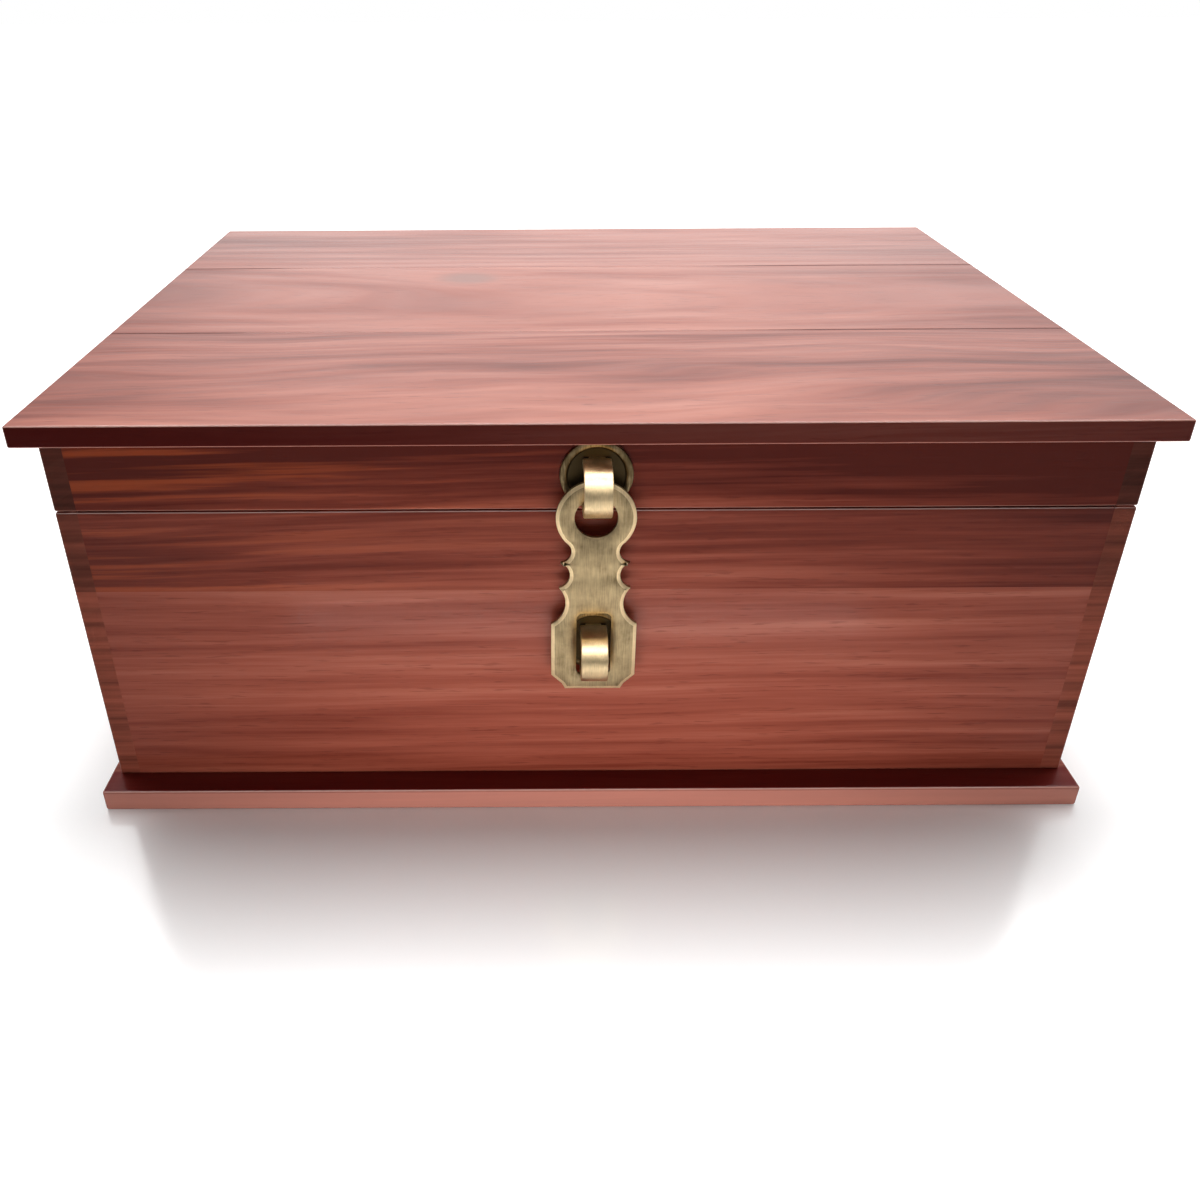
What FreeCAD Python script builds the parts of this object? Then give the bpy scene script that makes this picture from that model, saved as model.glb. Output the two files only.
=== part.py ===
import FreeCAD
import Part
import Sketcher
import os
import re

# A hasped wooden chest. Millimetres, +Z up, +Y to the back, +X to the right seen from the front.
# The origin is on the underside of the base, below the middle of the walls.
sizes = {
    # Walls: the lid frame is sawn off the same box, so its rails share the wall thickness
    # and the height. The lower plank is what is left below the upper one.
    "body_width": 386,
    "body_depth": 296,
    "body_height": 146,
    "wall_thick": 8,
    "upper_plank": 32.5,
    "lid_gap": 0.5,
    "rail_height": 27,
    "arris": 0.8,
    # Planks of the top and the base are eased a little along their glue lines, which leaves a fine groove.
    "joint_arris": 0.3,
    # Top: three planks glued edge to edge, overhanging all round.
    "top_thick": 8,
    "top_over": 7,
    "top_front_plank": 106,
    "top_middle_plank": 112,
    # Base: three planks glued edge to edge, standing out furthest at the front.
    "base_thick": 9.5,
    "base_over_front": 12,
    "base_over_side": 4,
    "base_front_plank": 110,
    "base_middle_plank": 100,
    "base_arris": 1.2,
    # Countersunk screws that hold the base up against the walls, with their heads sunk a little.
    "base_screw_length": 26,
    "base_screw_head_r": 3.2,
    "base_screw_shank_r": 1.6,
    "base_screw_tip": 5,
    "base_screw_sink": 0.5,
    # Staples: a flat strip bent to a U, with shoulders on a round plate and narrower tangs
    # that pass through the board and are clenched towards each other inside.
    "strip_width": 10,
    "strip_thick": 2.2,
    "staple_height": 18,
    "staple_reach": 18.5,
    "staple_bend": 5,
    "staple_drop": 2.4,
    "tang_width": 6,
    "tang_gap": 0.15,
    "clench": 6,
    "rosette_r": 13,
    "rosette_thick": 1.5,
    "rosette_bevel": 0.6,
    # Hasp: drops are measured down from the middle of its ring, halves out from its centre line.
    "hasp_off": 4,
    "hasp_thick": 2,
    "hasp_edge": 0.4,
    "ring_r": 14.3,
    "ring_hole_r": 7.7,
    "hang_gap": 0.5,
    "ring_foot_drop": 9.6,
    "neck_half": 8.6,
    "neck_drop": 13.3,
    "thorn_half": 12.6,
    "thorn_drop": 17.8,
    "waist_half": 9.1,
    "waist_drop": 22.9,
    "spur_half": 13.1,
    "spur_drop": 28.2,
    "throat_half": 10.6,
    "throat_drop": 34.6,
    "shoulder_half": 15.9,
    "shoulder_drop": 43.6,
    "hip_drop": 66.4,
    "heel_half": 11.8,
    "heel_drop": 70.4,
    "toe_half": 10.6,
    "toe_drop": 72.7,
    "slot_half": 6.5,
    "slot_drop": 39.1,
    "slot_length": 27.4,
    "slot_corner": 2.5,
    "slot_play": 2,
    # Butt hinges on the back faces, with the barrel over the seam.
    "hinge_length": 50,
    "hinge_inset": 73,
    "leaf_thick": 1.2,
    "leaf_height": 17,
    "barrel_r": 2.5,
    "pin_r": 1.1,
    "pin_play": 0.05,
    "pin_head_r": 1.9,
    "pin_head": 0.7,
    "knuckle_gap": 0.25,
    "notch_gap": 0.35,
    "screw_pitch": 32,
    "screw_row": 10,
    "screw_length": 7.4,
    "screw_head_r": 2.4,
    "screw_shank_r": 1.2,
    "screw_tip": 2,
    "screw_slot": 0.6,
    "pilot_gap": 0.05,
}
knuckles = 5
# Cuts run this far past the surface that they open.
overrun = 1

# Places worked out from the sizes.
front = "(-body_depth / 2)"
back = "(body_depth / 2)"
left = "(-body_width / 2)"
right = "(body_width / 2)"
inner_width = "(body_width - 2 * wall_thick)"
inner_left = f"({left} + wall_thick)"
lower_plank = "(body_height - upper_plank - lid_gap - rail_height)"
glue_line = f"(base_thick + {lower_plank})"
box_top = f"({glue_line} + upper_plank)"
rail_foot = f"({box_top} + lid_gap)"
rail_top = "(base_thick + body_height)"
seam = f"({box_top} + lid_gap / 2)"
hinge_y = f"({back} + barrel_r)"
lid_staple_z = f"({rail_foot} + rail_height / 2 - staple_drop)"
# The ring hangs with the edge of its hole just clear of the corners of the staple's lower leg.
hang_rise = "sqrt(ring_hole_r ^ 2 - (strip_width / 2) ^ 2)"
ring_z = f"({lid_staple_z} - staple_height / 2 + strip_thick + hang_gap - {hang_rise})"
lock_staple_z = f"({ring_z} - slot_drop - slot_length + slot_play + staple_height / 2)"

doc = FreeCAD.newDocument("chest")
sheet = doc.addObject("Spreadsheet::Sheet", "sheet")
for row, (alias, number) in enumerate(sizes.items(), start=1):
    sheet.set(f"A{row}", alias)
    sheet.set(f"B{row}", str(number))
    sheet.setAlias(f"B{row}", alias)
doc.recompute()

pieces = {}
origins = {}
turned = {
    "x": FreeCAD.Rotation(FreeCAD.Vector(0, 1, 0), 90),
    "y": FreeCAD.Rotation(FreeCAD.Vector(1, 0, 0), -90),
    "z": FreeCAD.Rotation(),
}


def link(text):
    """An expression in which each size is read from the sheet."""
    return re.sub(r"[a-z_]+", lambda word: f"sheet.{word[0]}" if word[0] in sizes else word[0], text)


def value(text):
    return float(sheet.evalExpression(text))


def bind(thing, **properties):
    for name, text in properties.items():
        thing.setExpression(name, link(text))


def put(thing, place, holder="Placement"):
    for axis, text in zip("xyz", place):
        thing.setExpression(f".{holder}.Base.{axis}", link(text))


def piece(name, place):
    """A sub-part whose own origin is at a place in the chest's frame."""
    made = doc.addObject("PartDesign::Body", name)
    made.Label = name
    made.AllowCompound = True
    put(made, place)
    pieces[name] = made
    origins[name] = place
    return made


def board(name, place, size):
    """A plank with its low corner at a place, and its size along x, y and z."""
    made = piece(name, place)
    block = made.newObject("PartDesign::AdditiveBox", "block")
    bind(block, Length=size[0], Width=size[1], Height=size[2])
    return made


def cut(name, kind, place, along, **size):
    """A primitive cut out of a piece, with its foot at a place in the chest's frame."""
    made = pieces[name]
    tool = made.newObject(f"PartDesign::Subtractive{kind}", "cut")
    tool.Placement = FreeCAD.Placement(FreeCAD.Vector(), turned[along])
    put(tool, [f"{text} - ({origin})" for text, origin in zip(place, origins[name])])
    bind(tool, **size)
    return tool


def cut_box(name, low, high):
    """A box cut out of a piece between two corners in the chest's frame."""
    spans = [f"({top}) - ({foot})" for foot, top in zip(low, high)]
    return cut(name, "Box", low, "z", Length=spans[0], Width=spans[1], Height=spans[2])


def sketch_on(made, role, offset=()):
    drawn = made.newObject("Sketcher::SketchObject", "outline")
    plane = [part for part in made.Origin.OriginFeatures if part.Role == role][0]
    drawn.AttachmentSupport = [(plane, "")]
    drawn.MapMode = "FlatFace"
    put(drawn, offset, "AttachmentOffset")
    return drawn


def hold_point(drawn, item, end, place):
    """Holds one point of a sketch at a place given by two expressions."""
    for kind, text in zip(("DistanceX", "DistanceY"), place):
        number = drawn.addConstraint(Sketcher.Constraint(kind, -1, 1, item, end, value(text)))
        drawn.setExpression(f"Constraints[{number}]", link(text))


def draw_loop(drawn, corners):
    """A closed outline of corners (x, y). A third item is a point that an arc to the next corner passes."""
    spots = [FreeCAD.Vector(value(corner[0]), value(corner[1]), 0) for corner in corners]
    sides = []
    for index, corner in enumerate(corners):
        start = spots[index]
        stop = spots[(index + 1) % len(corners)]
        if len(corner) == 2:
            sides.append((drawn.addGeometry(Part.LineSegment(start, stop), False), 1, 2))
            continue
        via = FreeCAD.Vector(value(corner[2][0]), value(corner[2][1]), 0)
        arc = drawn.addGeometry(Part.Arc(start, via, stop), False)
        forward = drawn.getPoint(arc, 1).distanceToPoint(start) < drawn.getPoint(arc, 1).distanceToPoint(stop)
        sides.append((arc, 1, 2) if forward else (arc, 2, 1))
        mark = drawn.addGeometry(Part.Point(via), True)
        hold_point(drawn, mark, 1, corner[2])
        drawn.addConstraint(Sketcher.Constraint("PointOnObject", mark, 1, arc))
    for index, (side, first, last) in enumerate(sides):
        following = sides[(index + 1) % len(sides)]
        drawn.addConstraint(Sketcher.Constraint("Coincident", side, last, following[0], following[1]))
        hold_point(drawn, side, first, corners[index][:2])


def both_sides(half, crown):
    """A right half outline and its mirror image, joined at the top by an arc through the crown."""
    loop = list(half)
    for number in reversed(range(len(half))):
        x, y = half[number][:2]
        passed = half[number - 1][2:] if number else (crown,)
        loop.append((f"-{x}", y, *[(f"-{via[0]}", via[1]) for via in passed]))
    return loop


def draw_circle(drawn, radius):
    """A circle about the sketch's origin."""
    circle = drawn.addGeometry(Part.Circle(FreeCAD.Vector(), FreeCAD.Vector(0, 0, 1), value(radius)), False)
    drawn.addConstraint(Sketcher.Constraint("Coincident", circle, 3, -1, 1))
    number = drawn.addConstraint(Sketcher.Constraint("Radius", circle, value(radius)))
    drawn.setExpression(f"Constraints[{number}]", link(radius))


def pad(made, drawn, thick, side="One side"):
    solid = made.newObject("PartDesign::Pad", "pad")
    solid.Profile = drawn
    solid.SideType = side
    bind(solid, Length=thick)


def turn(made, drawn, axis):
    solid = made.newObject("PartDesign::Revolution", "turned")
    solid.Profile = drawn
    solid.ReferenceAxis = (drawn, [axis])
    solid.Angle = 360
    return solid


def round_edges(made, radius, chosen):
    """Rounds the edges of the piece so far that a test picks."""
    doc.recompute()
    before = made.Tip
    names = [f"Edge{number}" for number, edge in enumerate(before.Shape.Edges, start=1) if chosen(edge)]
    rounded = made.newObject("PartDesign::Fillet", "rounded")
    rounded.Base = (before, names)
    bind(rounded, Radius=radius)


def ease(made, radius, arrises):
    """Rounds arrises of a board, each named by its two faces, such as -y+z."""
    doc.recompute()
    box = made.Tip.Shape.BoundBox
    limits = {"-x": box.XMin, "+x": box.XMax, "-y": box.YMin, "+y": box.YMax, "-z": box.ZMin, "+z": box.ZMax}

    def lies_on(edge, side):
        axis = "xyz".index(side[1])
        return all(abs(vertex.Point[axis] - limits[side]) < 1e-6 for vertex in edge.Vertexes)

    def chosen(edge):
        return any(lies_on(edge, pair[:2]) and lies_on(edge, pair[2:]) for pair in arrises)

    round_edges(made, radius, chosen)


def plank_row(prefix, place, length, widths, thick, radius):
    """Three planks from front to back, rounded on the outer arrises and eased at their joints."""
    ends = ["-x-z", "-x+z", "+x-z", "+x+z"]
    near = ["-y-z", "-y+z"]
    far = ["+y-z", "+y+z"]
    outer = {"front": near + ["-x-y", "+x-y"], "middle": [], "rear": far + ["-x+y", "+x+y"]}
    joints = {"front": far, "middle": near + far, "rear": near}
    y = place[1]
    for spot, width in zip(outer, widths):
        made = board(f"{prefix}_plank_{spot}", (place[0], y, place[2]), (length, width, thick))
        ease(made, radius, ends + outer[spot])
        ease(made, "joint_arris", joints[spot])
        y = f"({y} + {width})"


def box_sides():
    """The four sides of the box: name, low x, low y, size along x and y, and the upright outer arrises."""
    far_y = f"({back} - wall_thick)"
    far_x = f"({right} - wall_thick)"
    yield "front", inner_left, front, inner_width, "wall_thick", []
    yield "back", inner_left, far_y, inner_width, "wall_thick", []
    yield "left", left, front, "wall_thick", "body_depth", ["-x-y", "-x+y"]
    yield "right", far_x, front, "wall_thick", "body_depth", ["+x-y", "+x+y"]


def rim(side, face):
    """The arrises that a side shows along the seam. The side walls show their ends there too."""
    long = ["-y", "+y"] if side in ("front", "back") else ["-x", "+x", "-y", "+y"]
    return [edge + face for edge in long]


# The side walls run the full depth, and the front and back are butted between them.
for side, x, y, wide, deep, upright in box_sides():
    lower = board(f"{side}_wall_lower", (x, y, "base_thick"), (wide, deep, lower_plank))
    upper = board(f"{side}_wall_upper", (x, y, glue_line), (wide, deep, "upper_plank"))
    rail = board(f"lid_{side}_rail", (x, y, rail_foot), (wide, deep, "rail_height"))
    if upright:
        ease(lower, "arris", upright)
    ease(upper, "arris", upright + rim(side, "+z"))
    ease(rail, "arris", upright + rim(side, "-z"))

# Top and base
top_rear_plank = "(body_depth + 2 * top_over - top_front_plank - top_middle_plank)"
plank_row("top", (f"({left} - top_over)", f"({front} - top_over)", rail_top), "body_width + 2 * top_over",
          ("top_front_plank", "top_middle_plank", top_rear_plank), "top_thick", "arris")
base_foot = f"({front} - base_over_front)"
base_rear_plank = "(body_depth + base_over_front + base_over_side - base_front_plank - base_middle_plank)"
plank_row("base", (f"({left} - base_over_side)", base_foot, "0"), "body_width + 2 * base_over_side",
          ("base_front_plank", "base_middle_plank", base_rear_plank), "base_thick", "base_arris")


def screw_row(made, role, offset, profile, count, span, slot=None):
    """A row of like screws along X, turned from a half profile about the sketch's upright axis."""
    drawn = sketch_on(made, role, offset)
    draw_loop(drawn, profile)
    originals = [turn(made, drawn, "V_Axis")]
    if slot:
        originals.append(cut_box(made.Name, *slot))
    row = made.newObject("PartDesign::LinearPattern", "row")
    row.Originals = originals
    row.Direction = (drawn, ["H_Axis"])
    row.Occurrences = count
    bind(row, Length=span)
    made.Tip = row


# Base screws: one at each end of every base plank, and one in the middle of the front and back walls.
base_head = "(base_screw_head_r - base_screw_shank_r)"
base_screw = [("0", "0"), ("base_screw_head_r", "0"), ("base_screw_shank_r", base_head),
              ("base_screw_shank_r", "base_screw_length - base_screw_tip"), ("0", "base_screw_length")]
base_hole_r = "base_screw_shank_r + pilot_gap"
wall_x = "(body_width / 2 - wall_thick / 2)"
wall_y = "(body_depth / 2 - wall_thick / 2)"
middle_y = f"({base_foot} + base_front_plank + base_middle_plank / 2)"
rear_y = f"({base_foot} + base_front_plank + base_middle_plank + {base_rear_plank} / 2)"
base_rows = [
    ("front", f"({base_foot} + base_front_plank / 2)", {-1: "left", 1: "right"}),
    ("middle", middle_y, {-1: "left", 1: "right"}),
    ("rear", rear_y, {-1: "left", 1: "right"}),
    ("front", f"(-{wall_y})", {0: "front"}),
    ("rear", wall_y, {0: "back"}),
]
base_screws = piece("base_screws", ("0", "0", "base_screw_sink"))
for plank, y, held in base_rows:
    first = f"{min(held)} * {wall_x}"
    screw_row(base_screws, "XZ_Plane", (first, "0", f"-{y}"), base_screw, len(held), f"2 * {wall_x}")
    for spot, wall in held.items():
        x = f"{spot} * {wall_x}"
        seat = f"base_plank_{plank}"
        cut(seat, "Cone", (x, y, "0"), "z", Radius1="base_screw_head_r + base_screw_sink",
            Radius2="base_screw_shank_r", Height=f"base_screw_sink + {base_head}")
        cut(seat, "Cylinder", (x, y, "base_screw_sink"), "z",
            Radius=base_hole_r, Height=f"base_thick + {overrun}")
        cut(f"{wall}_wall_lower", "Cylinder", (x, y, f"base_thick - {overrun}"), "z", Radius=base_hole_r,
            Height=f"base_screw_sink + base_screw_length - base_thick + pilot_gap + {overrun}")


def bend(made, radius, axes, corners):
    """Rounds the edges that pass straight through corners, given by two of the axes, such as YZ."""
    spots = [(value(first), value(second)) for first, second in corners]

    def passes(edge):
        ends = [(getattr(vertex, axes[0]), getattr(vertex, axes[1])) for vertex in edge.Vertexes]
        return any(all(abs(a - first) + abs(b - second) < 1e-6 for a, b in ends) for first, second in spots)

    round_edges(made, radius, passes)


def staple(name, board_name, z):
    """A strip staple with its round plate, set in the front of a board."""
    half = "staple_height / 2"
    inside = "(wall_thick + strip_thick)"
    upper_half = [("-staple_reach", half), (inside, half), (inside, f"{half} - clench"),
                  ("wall_thick", f"{half} - clench"), ("wall_thick", f"{half} - strip_thick"),
                  ("strip_thick - staple_reach", f"{half} - strip_thick")]
    lower_half = [(y, f"-({rise})") for y, rise in reversed(upper_half)]
    made = piece(name, ("0", front, z))
    drawn = sketch_on(made, "YZ_Plane")
    draw_loop(drawn, upper_half + lower_half)
    pad(made, drawn, "strip_width", "Symmetric")
    bend(made, "staple_bend", "YZ", [("-staple_reach", half), ("-staple_reach", f"-{half}")])
    bend(made, "staple_bend - strip_thick", "YZ", [upper_half[-1], lower_half[0]])
    bend(made, "strip_thick", "YZ", [upper_half[1], lower_half[-2]])
    shoulder = f"{front} - rosette_thick"
    tail = f"{front} + {inside} + {overrun}"
    reach = f"{half} + {overrun}"
    side = f"strip_width / 2 + {overrun}"
    cut_box(name, ("tang_width / 2", shoulder, f"{z} - ({reach})"), (side, tail, f"{z} + {reach}"))
    cut_box(name, (f"-({side})", shoulder, f"{z} - ({reach})"), ("-tang_width / 2", tail, f"{z} + {reach}"))

    plate = piece(f"{name}_plate", ("0", front, f"{z} + staple_drop"))
    drawn = sketch_on(plate, "XY_Plane")
    draw_loop(drawn, [("0", "0"), ("rosette_r", "0"), ("rosette_r", "rosette_bevel - rosette_thick"),
                      ("rosette_r - rosette_bevel", "-rosette_thick"), ("0", "-rosette_thick")])
    turn(plate, drawn, "V_Axis")
    slot_x = "tang_width / 2 + tang_gap"
    for leg in (f"{z} + {half} - strip_thick", f"{z} - {half}"):
        low = (f"-({slot_x})", f"{front} - rosette_thick - {overrun}", f"{leg} - tang_gap")
        high = (slot_x, f"{front} + wall_thick + {overrun}", f"{leg} + strip_thick + tang_gap")
        cut_box(plate.Name, low, high)
        cut_box(board_name, low, high)


staple("lid_staple", "lid_front_rail", lid_staple_z)
staple("lock_staple", "front_wall_lower", lock_staple_z)

# Hasp: a ring, a neck cut by round bites that leave two thorns a side, and a slotted foot.
hasp = piece("hasp_plate", ("0", f"{front} - hasp_off", ring_z))
ring_foot_half = "sqrt(ring_r ^ 2 - ring_foot_drop ^ 2)"
hasp_right = [
    (ring_foot_half, "-ring_foot_drop", ("neck_half", "-neck_drop")),
    ("thorn_half", "-thorn_drop", ("waist_half", "-waist_drop")),
    ("spur_half", "-spur_drop", ("throat_half", "-throat_drop")),
    ("shoulder_half", "-shoulder_drop"),
    ("shoulder_half", "-hip_drop"),
    ("heel_half", "-heel_drop"),
    ("toe_half", "-toe_drop"),
]
drawn = sketch_on(hasp, "XZ_Plane")
draw_loop(drawn, both_sides(hasp_right, ("0", "ring_r")))
draw_circle(drawn, "ring_hole_r")
slot_foot = "-(slot_drop + slot_length)"
slot_corners = [("-slot_half", "-slot_drop"), ("slot_half", "-slot_drop"),
                ("slot_half", slot_foot), ("-slot_half", slot_foot)]
draw_loop(drawn, slot_corners)
pad(hasp, drawn, "hasp_thick")
bend(hasp, "slot_corner", "XZ", slot_corners)
round_edges(hasp, "hasp_edge", lambda edge: all(
    abs(vertex.Y + value("hasp_thick")) < 1e-6 for vertex in edge.Vertexes))


def hinge_leaf(name, x, way, own):
    """A leaf rolled round the pin and notched for the other leaf's knuckles. Way is 1 up or -1 down."""
    made = piece(name, (x, hinge_y, seam))
    tip = f"{way} * leaf_height"
    root = f"{way} * sqrt(barrel_r ^ 2 - (barrel_r - leaf_thick) ^ 2)"
    drawn = sketch_on(made, "YZ_Plane")
    draw_loop(drawn, [("-barrel_r", tip), ("-barrel_r", "0", ("barrel_r", "0")),
                      ("leaf_thick - barrel_r", root), ("leaf_thick - barrel_r", tip)])
    pad(made, drawn, "hinge_length", "Symmetric")
    start = f"({x} - hinge_length / 2)"
    cut(name, "Cylinder", (f"{start} - {overrun}", hinge_y, seam), "x",
        Radius="pin_r + pin_play", Height=f"hinge_length + 2 * {overrun}")
    reach = "(barrel_r + notch_gap)"
    for number in range(knuckles):
        if number in own:
            continue
        low_x = f"{start} + {number} * hinge_length / {knuckles} - knuckle_gap / 2"
        high_x = f"{start} + {number + 1} * hinge_length / {knuckles} + knuckle_gap / 2"
        cut_box(name, (low_x, f"{hinge_y} - {reach}", f"{seam} - {reach}"),
                (high_x, f"{hinge_y} + {reach}", f"{seam} + {reach}"))
    for spot in (-1, 1):
        cut(name, "Cone", (f"{x} + {spot} * screw_pitch / 2", back, f"{seam} + {way} * screw_row"), "y",
            Radius1="screw_shank_r", Radius2="screw_head_r", Height="leaf_thick")


def hinge_pin(name, x):
    """A pin with a bevelled head on each end of the barrel."""
    made = piece(name, (x, hinge_y, seam))
    half = "hinge_length / 2"
    tip = f"{half} + pin_head"
    right_end = [(half, "pin_r"), (half, "pin_head_r"), (tip, "pin_r"), (tip, "0")]
    left_end = [(f"-({x_end})", r) for x_end, r in reversed(right_end)]
    drawn = sketch_on(made, "XZ_Plane")
    draw_loop(drawn, right_end + left_end)
    turn(made, drawn, "H_Axis")


hinge_places = {"left": f"({left} + hinge_inset)", "right": f"({right} - hinge_inset)"}
for hand, x in hinge_places.items():
    hinge_leaf(f"hinge_{hand}_box_leaf", x, -1, range(0, knuckles, 2))
    hinge_leaf(f"hinge_{hand}_lid_leaf", x, 1, range(1, knuckles, 2))
    hinge_pin(f"hinge_{hand}_pin", x)

# Hinge screws: slotted, countersunk flush in the leaves.
hinge_screw = [("0", "0"), ("screw_head_r", "0"), ("screw_shank_r", "-leaf_thick"),
               ("screw_shank_r", "screw_tip - screw_length"), ("0", "-screw_length")]
pilot_depth = "(screw_length - leaf_thick + pilot_gap)"
for owner, way, wood in (("box", -1, "back_wall_upper"), ("lid", 1, "lid_back_rail")):
    screw_z = f"({seam} + {way} * screw_row)"
    screw_face = f"({back} + leaf_thick)"
    screws = piece(f"hinge_{owner}_screws", ("0", screw_face, screw_z))
    for x in hinge_places.values():
        first = f"{x} - screw_pitch / 2"
        slot = ((f"{first} - screw_head_r", f"{screw_face} - screw_slot", f"{screw_z} - screw_slot / 2"),
                (f"{first} + screw_head_r", f"{screw_face} + {overrun}", f"{screw_z} + screw_slot / 2"))
        screw_row(screws, "XY_Plane", (first, "0", "0"), hinge_screw, 2, "screw_pitch", slot)
        for spot in (-1, 1):
            pilot = (f"{x} + {spot} * screw_pitch / 2", f"{back} - {pilot_depth}", screw_z)
            cut(wood, "Cylinder", pilot, "y",
                Radius="screw_shank_r + pilot_gap", Height=f"{pilot_depth} + {overrun}")

doc.recompute()
for thing in doc.Objects:
    if "Invalid" in thing.State or "Error" in thing.State:
        raise RuntimeError(f"{thing.Name} failed: {thing.State}")
    if thing.TypeId.startswith("PartDesign::Subtractive"):
        if thing.Shape.Volume > thing.BaseFeature.Shape.Volume - 1e-6:
            raise RuntimeError(f"{thing.Name} cuts nothing")

os.makedirs("parts", exist_ok=True)
for name, made in pieces.items():
    if made.Shape.isNull() or not made.Shape.isValid():
        raise RuntimeError(f"{name} has no valid shape")
    made.Shape.exportStep(f"parts/{made.Label}.step")
print(len(pieces), "pieces written")
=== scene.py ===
from math import radians

import bpy
import bmesh
from mathutils import Matrix, Vector


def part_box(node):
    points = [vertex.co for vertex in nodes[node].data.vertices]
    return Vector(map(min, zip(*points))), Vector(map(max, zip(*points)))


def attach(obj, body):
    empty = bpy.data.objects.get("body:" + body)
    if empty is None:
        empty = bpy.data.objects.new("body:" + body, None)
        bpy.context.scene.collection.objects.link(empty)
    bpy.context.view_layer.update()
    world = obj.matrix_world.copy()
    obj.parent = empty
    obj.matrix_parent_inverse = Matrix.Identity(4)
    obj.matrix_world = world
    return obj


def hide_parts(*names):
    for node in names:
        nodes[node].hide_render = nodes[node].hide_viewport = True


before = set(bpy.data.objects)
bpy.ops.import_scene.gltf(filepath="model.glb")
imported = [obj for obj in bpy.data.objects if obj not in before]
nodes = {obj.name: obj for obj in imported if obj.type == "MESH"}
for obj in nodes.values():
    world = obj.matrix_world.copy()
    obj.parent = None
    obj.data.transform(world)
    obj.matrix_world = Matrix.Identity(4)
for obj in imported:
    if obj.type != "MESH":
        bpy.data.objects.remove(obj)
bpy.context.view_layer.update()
mm = 0.001
print("frame loaded,", len(nodes), "CAD nodes")

# Camera, as the photograph was taken: close, looking down on the front
view = {
    "place": (-19.5 * mm, -496.4 * mm, 295.3 * mm),
    "pitch": 30.38,
    "yaw": 0.09,
    "roll": -0.36,
    "lens": 32.43,
    "sensor": 36,
    "shift": 0.05,
    "nearest": 0.01,
}
cameraData = bpy.data.cameras.new("photoCamera")
cameraData.lens = view["lens"]
cameraData.sensor_width = view["sensor"]
cameraData.shift_x = view["shift"]
cameraData.clip_start = view["nearest"]
cameraData.dof.use_dof = False
camera = bpy.data.objects.new("photoCamera", cameraData)
turned = Matrix.Rotation(radians(view["yaw"]), 4, "Z") @ Matrix.Rotation(radians(90 - view["pitch"]), 4, "X")
rolled = Matrix.Rotation(radians(view["roll"]), 4, "Z")
camera.matrix_world = Matrix.Translation(view["place"]) @ turned @ rolled
bpy.context.collection.objects.link(camera)
bpy.context.scene.camera = camera
bpy.context.scene.view_settings.view_transform = "Standard"


# Node helpers: each call adds one node and gives back its output
def startMaterial(name):
    material = bpy.data.materials.new(name)
    material.use_nodes = True
    tree = material.node_tree
    tree.nodes.clear()
    output = tree.nodes.new("ShaderNodeOutputMaterial")
    shader = tree.nodes.new("ShaderNodeBsdfPrincipled")
    tree.links.new(shader.outputs[0], output.inputs["Surface"])
    return material, tree, shader


def feed(tree, socket, source):
    if isinstance(source, bpy.types.NodeSocket):
        tree.links.new(source, socket)
    else:
        socket.default_value = source


def math(tree, operation, first, second=0.0, third=0.0):
    node = tree.nodes.new("ShaderNodeMath")
    node.operation = operation
    for socket, source in zip(node.inputs, (first, second, third)):
        feed(tree, socket, source)
    return node.outputs[0]


def noise(tree, vector, scale=1.0, detail=2.0, rough=0.5):
    node = tree.nodes.new("ShaderNodeTexNoise")
    feed(tree, node.inputs["Vector"], vector)
    node.inputs["Scale"].default_value = scale
    node.inputs["Detail"].default_value = detail
    node.inputs["Roughness"].default_value = rough
    return node.outputs["Fac"]


def ramp(tree, value, stops):
    node = tree.nodes.new("ShaderNodeValToRGB")
    feed(tree, node.inputs[0], value)
    marks = node.color_ramp.elements
    while len(marks) < len(stops):
        marks.new(0.5)
    for mark, (place, colour) in zip(marks, stops):
        mark.position = place
        mark.color = (*colour, 1)
    return node.outputs["Color"]


def span(tree, value, low, high, toLow=0.0, toHigh=1.0):
    node = tree.nodes.new("ShaderNodeMapRange")
    node.interpolation_type = "SMOOTHSTEP"
    feed(tree, node.inputs["Value"], value)
    for name, number in (("From Min", low), ("From Max", high), ("To Min", toLow), ("To Max", toHigh)):
        node.inputs[name].default_value = number
    return node.outputs["Result"]


def mix(tree, share, first, second):
    node = tree.nodes.new("ShaderNodeMix")
    node.data_type = "RGBA"
    feed(tree, node.inputs["Factor"], share)
    for name, source in (("A", first), ("B", second)):
        socket = [spot for spot in node.inputs if spot.name == name and spot.type == "RGBA"][0]
        feed(tree, socket, (*source, 1) if isinstance(source, tuple) else source)
    return [spot for spot in node.outputs if spot.type == "RGBA"][0]


def join(tree, x, y, z):
    node = tree.nodes.new("ShaderNodeCombineXYZ")
    for socket, source in zip(node.inputs, (x, y, z)):
        feed(tree, socket, source)
    return node.outputs[0]


def bump(tree, height, strength, distance):
    node = tree.nodes.new("ShaderNodeBump")
    node.inputs["Strength"].default_value = strength
    node.inputs["Distance"].default_value = distance
    feed(tree, node.inputs["Height"], height)
    return node.outputs[0]


noiseRange = (0.3, 0.7)  # nearly all of a noise lies in it
print("camera and helpers ready")

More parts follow.
